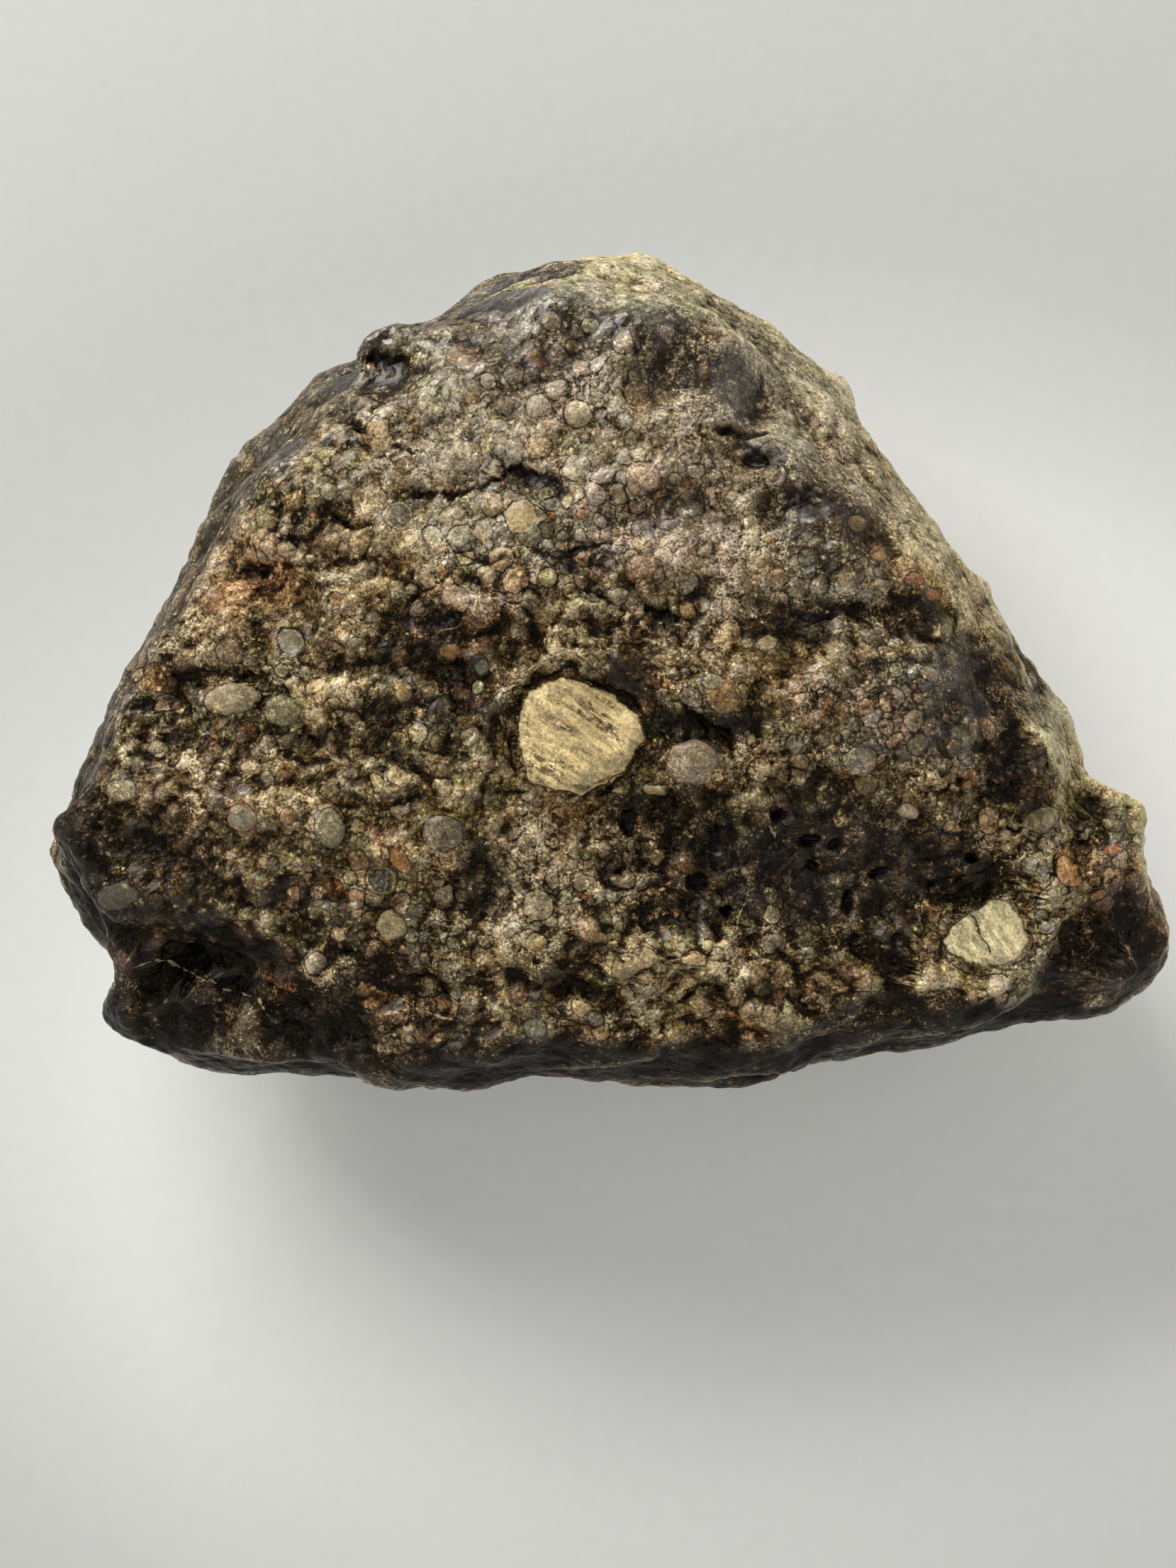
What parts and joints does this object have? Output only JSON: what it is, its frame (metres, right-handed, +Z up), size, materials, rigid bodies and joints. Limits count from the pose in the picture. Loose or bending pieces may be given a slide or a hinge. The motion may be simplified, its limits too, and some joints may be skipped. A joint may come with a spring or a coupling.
{
  "type": "chondrite meteorite",
  "caption": "Broken piece of a chondrite meteorite: dark stone packed with round chondrules, broken face up, with a knob at one end and a worn flat spot to rest on.",
  "frame": {"origin": "centre of the bounding box, at the level of the flat spot that the stone rests on", "axes": "+Z up out of the broken face, +X along the stone's length towards the knob, +Y towards the peak of the broken face"},
  "size_m": [0.065, 0.0502, 0.0274],
  "materials": {
    "chondrite_stone": "worn broken stone, semi-matt with a faint sheen on its raised parts"
  },
  "bodies": {
    "root": {"meteorite": "chondrite_stone"}
  },
  "joints": []
}
